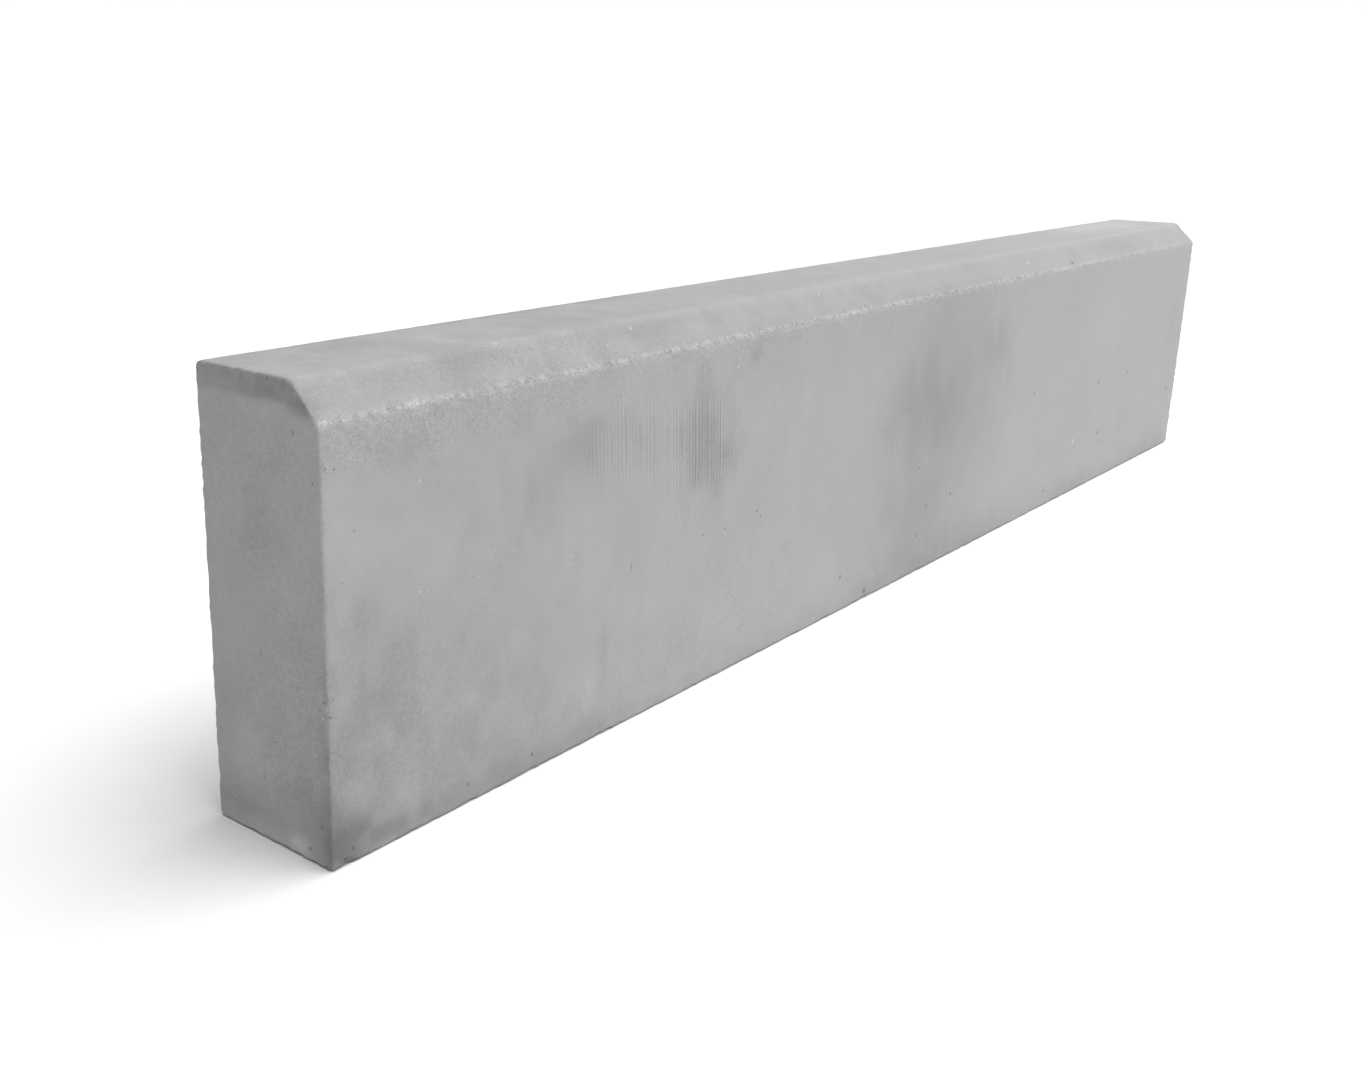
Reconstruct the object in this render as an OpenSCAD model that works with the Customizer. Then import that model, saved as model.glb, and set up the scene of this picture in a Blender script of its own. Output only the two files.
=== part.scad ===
// Concrete kerb stone, cast in one piece: a straight, upright block for edging a path, with the
// top edge of its front face cut back to a chamfer.
//
// The kerb stands on its foot, as it is laid. X runs along the kerb line, -Y is the front, where
// the chamfer is, +Y is the back, and +Z is up. The origin is under the middle of the foot.

/* [Overall size] */
// Length along the kerb line
kerb_length = 1000; // [250:5:1200]
// Thickness from the front face to the back face
kerb_width = 72; // [50:1:160]
// Height from the foot to the top
kerb_height = 195; // [100:1:400]

/* [Chamfer] */
// How far the chamfer reaches back across the top
chamfer_width = 16; // [6:0.5:35]
// How far the chamfer reaches down the front face
chamfer_height = 16; // [6:0.5:60]

/* [Arrises] */
// Radius where the top turns into the chamfer
head_radius = 9; // [1:0.5:20]
// Radius where the chamfer turns into the front face
shoulder_radius = 3; // [0.5:0.5:20]
// Radius where the top turns into the back face
back_radius = 2.5; // [0.5:0.5:10]
// Radius of the two long edges of the foot
foot_radius = 1.5; // [0.5:0.5:10]

/* [Hidden] */
$fn = 96;
concrete_grey = [0.68, 0.68, 0.68];

// The largest share of a wall that the rounding of one of its edges may take up.
wall_share = 0.45;

// How far a cutting arc reaches past a wall, so that the two cross cleanly.
eps = 0.001;

front = -kerb_width / 2;
back = kerb_width / 2;

// Corners of the section as [y, z], anticlockwise from the front of the foot, and their radii.
corners = [
    [front, 0],
    [back, 0],
    [back, kerb_height],
    [front + chamfer_width, kerb_height],
    [front, kerb_height - chamfer_height]
];
radii = [foot_radius, foot_radius, back_radius, head_radius, shoulder_radius];

function unit(v) = v / norm(v);
function left_of(v) = [-v.y, v.x];
function corner(i) = corners[(i + len(corners)) % len(corners)];

// The two walls that meet at a corner: the one that comes in and the one that goes out.
function wall_in(i) = corner(i) - corner(i - 1);
function wall_out(i) = corner(i + 1) - corner(i);

// Half the angle through which the outline turns at a corner.
function half_turn(i) = acos(unit(wall_in(i)) * unit(wall_out(i))) / 2;

// How far the rounding reaches from the corner along both walls.
function setback(i) = min(
    radii[i] * tan(half_turn(i)),
    wall_share * min(norm(wall_in(i)), norm(wall_out(i)))
);
function arris_radius(i) = setback(i) / tan(half_turn(i));
function arris_start(i) = corner(i) - unit(wall_in(i)) * setback(i);
function arris_end(i) = corner(i) + unit(wall_out(i)) * setback(i);
function arris_centre(i) = arris_start(i) + left_of(unit(wall_in(i))) * arris_radius(i);

// What is taken off at a corner: the wedge outside the chord of the rounding, down to its arc.
// The wedge reaches past both walls, and the arc breaks through them by eps instead of grazing them.
module corner_waste(i) {
    chord_middle = (arris_start(i) + arris_end(i)) / 2;
    outwards = unit(corner(i) - chord_middle);
    wedge_growth = 1.5;
    difference() {
        polygon([for (p = [arris_start(i), corner(i), arris_end(i)])
            chord_middle + wedge_growth * (p - chord_middle)]);
        translate(arris_centre(i) + eps * outwards) circle(r = arris_radius(i));
    }
}

// The section with a true arc at every corner.
module section() {
    difference() {
        polygon(corners);
        for (i = [0 : len(corners) - 1]) corner_waste(i);
    }
}

// The section is drawn as [y, z], so the two turns stand it up across the kerb line.
module kerb() {
    color(concrete_grey)
        translate([-kerb_length / 2, 0, 0])
            rotate([90, 0, 90])
                linear_extrude(height = kerb_length) section();
}

kerb();
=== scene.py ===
"""Concrete kerb stone: one cast block, chamfered along the top front edge, with the skin its mould gave it.

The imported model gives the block's box, and every size here is in metres in the same frame: X runs along the
kerb line, -Y is the chamfered front, +Z is up, and the origin is under the middle of the foot. One piece,
cast_kerb, stands for the plain node: the same block with worn arrises, chips, the soft swell of its mould and
a cast concrete finish.
"""

import itertools
import logging
import math
from dataclasses import dataclass
from enum import Enum
from functools import cached_property, reduce

import bpy
import numpy as np
from numpy.typing import NDArray
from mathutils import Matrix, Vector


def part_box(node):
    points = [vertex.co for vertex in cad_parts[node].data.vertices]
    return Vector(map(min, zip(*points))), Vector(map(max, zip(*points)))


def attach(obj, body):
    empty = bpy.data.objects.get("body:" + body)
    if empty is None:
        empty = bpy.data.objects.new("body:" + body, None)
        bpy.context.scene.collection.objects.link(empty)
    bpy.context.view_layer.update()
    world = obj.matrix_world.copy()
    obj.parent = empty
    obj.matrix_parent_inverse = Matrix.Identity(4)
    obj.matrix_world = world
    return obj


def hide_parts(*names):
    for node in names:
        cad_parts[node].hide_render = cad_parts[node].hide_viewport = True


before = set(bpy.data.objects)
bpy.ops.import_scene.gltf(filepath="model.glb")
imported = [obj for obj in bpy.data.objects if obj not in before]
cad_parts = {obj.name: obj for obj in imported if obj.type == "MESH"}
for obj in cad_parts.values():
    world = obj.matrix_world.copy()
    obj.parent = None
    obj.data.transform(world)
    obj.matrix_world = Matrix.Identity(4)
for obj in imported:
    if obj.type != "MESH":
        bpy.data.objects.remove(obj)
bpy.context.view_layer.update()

Array = NDArray[np.float64]
Numbers = NDArray[np.int64]
Triple = tuple[float, float, float]

MM = 0.001

# How many random numbers a noise draws from, what its lattice numbers are mixed with, and how finely a line
# is sampled before it is cut.
NOISE_NUMBERS = 8191
LATTICE_PRIMES = (73856093, 19349663, 83492791)
LINE_SAMPLES = 4001

# What brings a noise texture's values to between -1 and 1.
TEXTURE_MIDDLE = 0.5
TEXTURE_GAIN = 3.0

# Where the front face is along y and the near end along x, in millimetres.
FRONT_FACE = -36
NEAR_END = -500

# Where a patch fades out and where it is full, in its own half sizes.
PATCH_BORDER = 1.3
PATCH_HEART = 0.1
log = logging.getLogger("kerb")


# ---------------------------------------------------------------------------------------------------------
# Tools for shapes
# ---------------------------------------------------------------------------------------------------------


@dataclass(frozen=True)
class LatticeNoise:
    """Smooth random values in space.

    Each point of a cubic lattice has a random number from -1 to 1. Between them the value is the sum of the
    eight corner numbers, each weighted along every axis by 6t^5 - 15t^4 + 10t^3 of the way towards it.

    Attributes:
        seed: Which set of random numbers to use.
    """

    seed: int

    @cached_property
    def numbers(self) -> Array:
        """The random numbers that the lattice points draw from."""
        return np.random.default_rng(self.seed).uniform(-1.0, 1.0, NOISE_NUMBERS)

    def at(self, points: Array, size: float) -> Array:
        """Reads the noise at many points.

        Args:
            points: The points, one row each.
            size: The lattice's pitch, about the size of one lump.

        Returns:
            One value from -1 to 1 for each point.
        """
        cell = np.floor(points / size)
        part = points / size - cell
        weight = part**3 * (part * (part * 6.0 - 15.0) + 10.0)
        total = np.zeros(len(points))
        for corner in itertools.product((0, 1), repeat=3):
            lattice = (cell + corner).astype(np.int64)
            key = np.bitwise_xor.reduce(lattice * LATTICE_PRIMES, axis=1)
            share = np.where(np.array(corner), weight, 1.0 - weight).prod(axis=1)
            total += share * self.numbers[key % len(self.numbers)]
        return total

    def mixed(self, points: Array, parts: tuple[tuple[float, float], ...]) -> Array:
        """The sum of this noise at several sizes, where each part is its strength and its size."""
        return sum(strength * self.at(points, size) for strength, size in parts)


def spaced(length: float, count: int, first: float, last: float, growth: float, widest: float) -> Array:
    """Spaces points along a line, close together at its ends and wider apart between.

    The wished spacing at a place is the least of: first plus growth times the way from the start, last plus
    growth times the way to the end, and widest. The points are where the running sum of 1 / spacing, scaled
    to end at count, passes each whole number.

    Args:
        length: The line's length.
        count: How many steps it is cut into.
        first: The wished spacing at the start.
        last: The wished spacing at the end.
        growth: How fast the spacing grows with the distance from an end.
        widest: The widest wished spacing.

    Returns:
        The count + 1 places from 0 to length.
    """
    fine = np.linspace(0.0, length, LINE_SAMPLES)
    wished = np.minimum(np.minimum(first + growth * fine, last + growth * (length - fine)), widest)
    middles = 2.0 / (wished[1:] + wished[:-1])
    running = np.concatenate([[0.0], np.cumsum(middles)])
    return np.interp(np.linspace(0.0, running[-1], count + 1), running, fine)


def unit(vectors: Array) -> Array:
    """The vectors, each at length 1."""
    return vectors / np.linalg.norm(vectors, axis=-1, keepdims=True)


def smooth_step(values: Array, low: float, high: float) -> Array:
    """A smooth step from 0 where values are low to 1 where they are high. Low may be the larger."""
    part = np.clip((values - low) / (high - low), 0.0, 1.0)
    return part * part * (3.0 - 2.0 * part)


@dataclass
class Skin:
    """A surface that is put together piece by piece.

    Attributes:
        points: Where each vertex is.
        normals: Which way out of the concrete is there.
        quads: Four vertex numbers for each four-sided face, anticlockwise from outside.
        triangles: Three for each three-sided one.
    """

    points: Array
    normals: Array
    quads: Numbers
    triangles: Numbers

    @classmethod
    def empty(cls) -> "Skin":
        """A skin with nothing in it."""
        nothing = np.zeros((0, 3))
        return cls(nothing, nothing, np.zeros((0, 4), np.int64), np.zeros((0, 3), np.int64))

    def add_points(self, points: Array, normals: Array) -> Numbers:
        """Adds vertices.

        Args:
            points: Where they are, as a grid.
            normals: The way out at each.

        Returns:
            Their numbers, in the shape of the grid.
        """
        first = len(self.points)
        self.points = np.concatenate([self.points, points.reshape(-1, 3)])
        self.normals = np.concatenate([self.normals, normals.reshape(-1, 3)])
        return np.arange(first, len(self.points)).reshape(points.shape[:-1])

    def add_grid(self, grid: Numbers, closed: bool) -> None:
        """Adds the quads of a grid of vertices: along a row, then on to the next row.

        Args:
            grid: The vertices' numbers.
            closed: Whether the rows are rings.
        """
        grid = np.concatenate([grid, grid[:, :1]], axis=1) if closed else grid
        quads = np.stack([grid[:-1, :-1], grid[:-1, 1:], grid[1:, 1:], grid[1:, :-1]], axis=-1)
        self.quads = np.concatenate([self.quads, quads.reshape(-1, 4)])

    def add_strip(self, fine: Numbers, coarse: Numbers, became: Numbers, fine_first: bool) -> None:
        """Joins a fine ring to a coarse one.

        Every fine step makes a triangle with an end of the coarse step beside it: the earlier fine steps with
        its start, and the later ones with its end. One triangle more for each coarse step fills the gap
        between them.

        Args:
            fine: The fine ring's numbers.
            coarse: The coarse ring's numbers.
            became: Where on the fine ring each coarse point is, as Outline.finer gives it.
            fine_first: Whether the fine ring is the first of the two along the kerb.
        """
        cuts = np.diff(became)
        step = np.repeat(np.arange(len(cuts)), cuts)
        later = np.arange(len(fine)) - became[step] >= (cuts[step] + 1) // 2
        apex = coarse[(step + later) % len(coarse)]
        middle = fine[(became[:-1] + (cuts + 1) // 2) % len(fine)]
        on_fine = np.stack([fine, np.roll(fine, -1), apex], axis=1)
        on_coarse = np.stack([middle, np.roll(coarse, -1), coarse], axis=1)
        triangles = np.concatenate([on_fine, on_coarse])
        self.triangles = np.concatenate([self.triangles, triangles if fine_first else triangles[:, ::-1]])


# ---------------------------------------------------------------------------------------------------------
# The form
# ---------------------------------------------------------------------------------------------------------


@dataclass(frozen=True)
class Outline:
    """A closed outline across the kerb line, anticlockwise as (y, z).

    Attributes:
        points: The points.
        outwards: The way out of the concrete at each.
        inwards: How each point moves for each metre that the outline shrinks.
        starts: Which point each of the four sides starts at: underside, back, top and front.
    """

    points: Array
    outwards: Array
    inwards: Array
    starts: tuple[int, ...]

    def finer(self, pitch: float) -> tuple["Outline", Numbers]:
        """Cuts every step that is longer than the pitch into equal, shorter ones.

        Args:
            pitch: About how long the new steps are.

        Returns:
            The finer outline, and which of its points each old point has become, with one more number for
            its end.
        """
        steps = np.roll(self.points, -1, axis=0) - self.points
        cuts = np.maximum(1, np.rint(np.linalg.norm(steps, axis=1) / pitch).astype(np.int64))
        became = np.concatenate([[0], np.cumsum(cuts)])
        step = np.repeat(np.arange(len(cuts)), cuts)
        part = ((np.arange(became[-1]) - became[step]) / cuts[step])[:, None]

        def between(values: Array) -> Array:
            """The values at the new points."""
            return (1.0 - part) * values[step] + part * np.roll(values, -1, axis=0)[step]

        starts = tuple(int(became[start]) for start in self.starts)
        finer = Outline(between(self.points), unit(between(self.outwards)), between(self.inwards), starts)
        return finer, became


@dataclass(frozen=True)
class KerbSection:
    """The section across the kerb line: five walls, with an arc where two of them meet.

    Corners and walls are numbered anticlockwise as (y, z): corner 0 is the front of the foot, 1 its back, 2
    the top back edge, 3 the chamfer's head and 4 its shoulder. Wall i runs from corner i to the next.

    Attributes:
        width: From the front face to the back face.
        height: From the foot to the top.
        chamfer_width: How far the chamfer reaches back across the top.
        chamfer_height: How far it reaches down the front face.
        radii: The arc's radius at each corner.
        arc_steps: How many steps each corner's arc is cut into.
        wall_steps: How many steps each wall is cut into.
        arris_row: The wished spacing of a wall's rows at its arrises.
        row_growth: How fast that spacing grows with the distance from an arris.
        widest_row: The widest wished spacing.
    """

    width: float
    height: float
    chamfer_width: float = 16.0 * MM
    chamfer_height: float = 16.0 * MM
    radii: tuple[float, ...] = (1.5 * MM, 1.5 * MM, 2.5 * MM, 9.0 * MM, 3.0 * MM)
    arc_steps: tuple[int, ...] = (3, 3, 4, 6, 5)
    wall_steps: tuple[int, ...] = (16, 49, 16, 9, 33)
    arris_row: float = 0.6 * MM
    row_growth: float = 0.15
    widest_row: float = 6.5 * MM

    @property
    def front(self) -> float:
        """Where the front face is along y."""
        return -self.width / 2

    @property
    def back(self) -> float:
        """Where the back face is along y."""
        return self.width / 2

    @property
    def head(self) -> float:
        """Where the chamfer meets the top, along y."""
        return self.front + self.chamfer_width

    @property
    def shoulder(self) -> float:
        """The height at which the chamfer meets the front face."""
        return self.height - self.chamfer_height

    @property
    def corners(self) -> Array:
        """The sharp corners, one (y, z) each."""
        top = self.height
        foot = [(self.front, 0.0), (self.back, 0.0)]
        return np.array([*foot, (self.back, top), (self.head, top), (self.front, self.shoulder)])

    @property
    def walls(self) -> Array:
        """The direction of each wall."""
        return unit(np.roll(self.corners, -1, axis=0) - self.corners)

    @property
    def normals(self) -> Array:
        """Each wall's normal, which points out of the concrete."""
        return np.stack([self.walls[:, 1], -self.walls[:, 0]], axis=1)

    def mitre(self, i: int) -> Array:
        """How corner i moves for each metre that both its walls move inwards."""
        before, after = self.normals[i - 1], self.normals[i]
        return -(before + after) / (1.0 + before @ after)

    def arc(self, i: int) -> tuple[Array, Array, Array]:
        """The arc at one corner.

        Its centre lies the radius inside both walls, and a point on it is the centre plus the radius times a
        normal that turns evenly from one wall's to the next's.

        Args:
            i: The corner's number.

        Returns:
            The points, the ways out and the ways in, one more of each than the arc has steps.
        """
        before, after = self.normals[i - 1], self.normals[i]
        turn = math.acos(float(before @ after))
        angles = math.atan2(before[1], before[0]) + np.linspace(0.0, turn, self.arc_steps[i] + 1)
        normals = np.stack([np.cos(angles), np.sin(angles)], axis=1)
        setback = self.radii[i] * math.tan(turn / 2)
        centre = self.corners[i] - setback * self.walls[i - 1] - self.radii[i] * before
        points = centre + self.radii[i] * normals
        return points, normals, np.broadcast_to(self.mitre(i), points.shape)

    def wall(self, i: int) -> tuple[Array, Array, Array]:
        """One wall, from the end of an arc to the start of the next, with closer rows near the arrises.

        Args:
            i: The wall's number.

        Returns:
            The points, the ways out and the ways in, one more of each than the wall has steps.
        """
        following = (i + 1) % len(self.radii)
        start, end = self.arc(i)[0][-1], self.arc(following)[0][0]
        length = float(np.linalg.norm(end - start))
        spacing = (self.arris_row, self.arris_row, self.row_growth, self.widest_row)
        along = spaced(length, self.wall_steps[i], *spacing)[:, None]
        points = start + along * self.walls[i]
        inwards = self.mitre(i) + along / length * (self.mitre(following) - self.mitre(i))
        return points, np.broadcast_to(self.normals[i], points.shape), inwards

    def outline(self) -> Outline:
        """The whole outline.

        Opposite sides have as many steps as each other, so that an end of the kerb is one grid between them.
        The two foot arcs belong to the back and the front, and so do the arc at the top back edge and the
        chamfer's two.
        """
        sides = (
            (self.wall(0),),
            (self.arc(1), self.wall(1), self.arc(2)),
            (self.wall(2),),
            (self.arc(3), self.wall(3), self.arc(4), self.wall(4), self.arc(0)),
        )
        lengths = [sum(len(stretch[0]) - 1 for stretch in side) for side in sides]
        stretches = [stretch for side in sides for stretch in side]
        joined = [np.concatenate([stretch[part][:-1] for stretch in stretches]) for part in range(3)]
        return Outline(*joined, starts=tuple(int(start) for start in np.cumsum([0, *lengths[:-1]])))


@dataclass(frozen=True)
class KerbForm:
    """The unworn block: the section carried along the kerb line, turned in over a small arc to each end.

    Near the two ends the rows are finer, because the arrises there chip too.

    Attributes:
        section: The section across the kerb line.
        length: From end to end.
        end_radius: The arc between a side and an end.
        end_steps: How many steps that arc is cut into.
        end_pitch: The pitch of the rows and the columns near an end.
        end_columns: How many columns there are at that pitch.
        end_rings: How far inside the outline the rings on an end lie. The last borders its middle.
        columns: How many steps the length is cut into between the two fine stretches.
        near_pitch: The wished spacing of those columns at the -X end.
        far_pitch: The wished spacing at the +X end.
    """

    section: KerbSection
    length: float
    end_radius: float = 1.0 * MM
    end_steps: int = 4
    end_pitch: float = 1.25 * MM
    end_columns: int = 8
    end_rings: tuple[float, ...] = (2.0 * MM, 3.1 * MM, 4.4 * MM, 6.0 * MM)
    columns: int = 540
    near_pitch: float = 0.9 * MM
    far_pitch: float = 2.3 * MM

    def end_stations(self) -> tuple[Array, Array, Array]:
        """The rings from the middle of an end out to its arris and on along the sides.

        On the arc between, which has turned through an angle a, a ring is r - r sin a short of the end, and
        lies r - r cos a inside the outline.

        Returns:
            Each ring's distance from the end, how far inside the outline it lies, and how far its normals
            lean towards the end, from 0 to 1.
        """
        turned = np.linspace(math.pi / 2, 0.0, self.end_steps + 1)
        rings, r = np.array(self.end_rings[::-1]), self.end_radius
        along = r + self.end_pitch * np.arange(1, self.end_columns + 1)
        back = np.concatenate([np.zeros_like(rings), r - r * np.sin(turned), along])
        inset = np.concatenate([rings, r - r * np.cos(turned), np.zeros_like(along)])
        lean = np.concatenate([np.ones_like(rings), np.sin(turned), np.zeros_like(along)])
        return back, inset, lean

    def rings(self, outline: Outline, x: Array, inset: Array, lean: Array) -> tuple[Array, Array]:
        """Carries an outline to some stations along the kerb.

        A point is the outline's, moved inwards by the station's inset, at the station's x. Its normal is the
        outline's way out, leaning along x by the station's lean.

        Args:
            outline: The outline.
            x: The stations.
            inset: How far the outline has shrunk at each.
            lean: The x part of the normals at each.

        Returns:
            Points and normals, each stations by outline points by 3.
        """
        yz = outline.points[None] + inset[:, None, None] * outline.inwards[None]
        along = np.broadcast_to(x[:, None, None], (*yz.shape[:2], 1))
        leaning = np.broadcast_to(lean[:, None, None], along.shape)
        upright = np.sqrt(np.maximum(0.0, 1.0 - lean**2))[:, None, None] * outline.outwards[None]
        return np.concatenate([along, yz], axis=2), np.concatenate([leaning, upright], axis=2)

    def end_grid(self, ring: Numbers, starts: tuple[int, ...]) -> tuple[Numbers, list[Numbers]]:
        """Numbers a ring's points as the border of a grid, which is up by across.

        Args:
            ring: The vertex numbers of the ring.
            starts: Where its four sides start.

        Returns:
            The grid of vertex numbers, with -1 inside the border, and the four sides as they run on it.
        """
        closed = np.concatenate([ring, ring[:1]])
        stops = [*starts[1:], len(ring)]
        under, back, top, front = (closed[start : stop + 1] for start, stop in zip(starts, stops))
        grid = np.full((len(back), len(under)), -1)
        grid[0], grid[-1] = under, top[::-1]
        grid[:, -1], grid[:, 0] = back, front[::-1]
        return grid, [under, back, top[::-1], front[::-1]]

    def end_inside(self, border: list[Array]) -> Array:
        """Fills an end between its four sides with a Coons patch.

        A point is the blend of the two points across it on the underside and the top, plus the blend of the
        two on the front and the back, less the blend of the four corners.

        Args:
            border: The points of the underside, the back, the top and the front, each up or across.

        Returns:
            The inner points, up by across by 3.
        """
        under, back, top, front = border
        across = np.linspace(0.0, 1.0, len(under))[None, :, None]
        up = np.linspace(0.0, 1.0, len(back))[:, None, None]
        rows = (1 - up) * under[None] + up * top[None]
        columns = (1 - across) * front[:, None] + across * back[:, None]
        low_corners = (1 - across) * under[0] + across * under[-1]
        high_corners = (1 - across) * top[0] + across * top[-1]
        return (rows + columns - (1 - up) * low_corners - up * high_corners)[1:-1, 1:-1]

    def skin(self) -> Skin:
        """Joins the stretches of rings and the two ends into one closed surface."""
        coarse = self.section.outline()
        fine, became = coarse.finer(self.end_pitch)
        back, inset, lean = self.end_stations()
        straight = self.length - 2 * (back[-1] + self.end_pitch)
        growth = (self.far_pitch - self.near_pitch) / self.length
        last = self.far_pitch + straight
        along = spaced(straight, self.columns, self.near_pitch, last, growth, self.far_pitch)
        end, upright = self.length / 2, np.zeros_like(along)
        stretches = [
            (coarse, back[:1] - end, inset[:1], -lean[:1]),
            (fine, back[1:] - end, inset[1:], -lean[1:]),
            (coarse, along - straight / 2, upright, upright),
            (fine, end - back[:0:-1], inset[:0:-1], lean[:0:-1]),
            (coarse, end - back[:1], inset[:1], lean[:1]),
        ]
        skin = Skin.empty()
        grids = [skin.add_points(*self.rings(*stretch)) for stretch in stretches]
        for grid in grids:
            skin.add_grid(grid, closed=True)
        for first, second in zip(grids[:-1], grids[1:]):
            fine_first = first.shape[1] > second.shape[1]
            rings = (first[-1], second[0]) if fine_first else (second[0], first[-1])
            skin.add_strip(*rings, became, fine_first)
        for ring, facing in ((grids[0][0], -1.0), (grids[-1][-1], 1.0)):
            grid, border = self.end_grid(ring, coarse.starts)
            inside = self.end_inside([skin.points[side] for side in border])
            facings = np.broadcast_to([facing, 0.0, 0.0], inside.shape)
            grid[1:-1, 1:-1] = skin.add_points(inside, facings)
            skin.add_grid(grid if facing > 0 else grid[:, ::-1], closed=False)
        return skin


# ---------------------------------------------------------------------------------------------------------
# Wear
# ---------------------------------------------------------------------------------------------------------


@dataclass(frozen=True)
class Arris:
    """An edge of the block, and how it chips.

    Attributes:
        start: One end of it.
        end: The other.
        outwards: The way out between its two walls.
        per_metre: How many chips a metre of it has.
        half_length: The smallest and the largest chip, as half its length along the arris.
        depth: The shallowest and the deepest chip, from the sharp arris.
        rarity: The power that makes big chips rare.
        least_deep: The least share of its depth that a big chip is sure to have.
        tilt: How far a chip's way out is turned at random.
    """

    start: Triple
    end: Triple
    outwards: Triple
    per_metre: float
    half_length: tuple[float, float] = (0.8 * MM, 2.6 * MM)
    depth: tuple[float, float] = (0.5 * MM, 1.1 * MM)
    rarity: float = 2.5
    least_deep: float = 0.4
    tilt: float = 0.25

    def chips(self, rng: np.random.Generator) -> Array:
        """Draws this arris's chips.

        Each is a ball that dips into the arris: its radius is (a^2 + d^2) / 2d for half-length a and depth d,
        and its centre lies the radius less d outside the arris. Small chips are common and big ones rare.

        Args:
            rng: Where the random numbers come from.

        Returns:
            One row for each chip: the ball's centre and its radius.
        """
        start, end = np.array(self.start), np.array(self.end)
        count = max(1, round(self.per_metre * float(np.linalg.norm(end - start))))
        along = rng.random(count)[:, None]
        rare = rng.random(count) ** self.rarity
        half = self.half_length[0] + rare * (self.half_length[1] - self.half_length[0])
        share = rare * rng.uniform(self.least_deep, 1.0, count)
        deep = self.depth[0] + share * (self.depth[1] - self.depth[0])
        radius = (half**2 + deep**2) / (2 * deep)
        outwards = unit(np.array(self.outwards) + rng.uniform(-self.tilt, self.tilt, (count, 3)))
        centre = start + along * (end - start) + outwards * (radius - deep)[:, None]
        return np.column_stack([centre, radius])


@dataclass(frozen=True)
class Knock:
    """A knock at a known place, bigger than the chips that the arrises have everywhere.

    Attributes:
        at: The place on the sharp arris.
        outwards: The way out there.
        half_length: Half its length, in millimetres.
        depth: How deep it goes, in millimetres.
    """

    at: Triple
    outwards: Triple
    half_length: float
    depth: float

    def ball(self) -> Array:
        """The ball that makes the knock, as its centre and its radius."""
        half, deep = self.half_length * MM, self.depth * MM
        radius = (half**2 + deep**2) / (2 * deep)
        return np.append(np.array(self.at) + unit(np.array(self.outwards)) * (radius - deep), radius)


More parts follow.
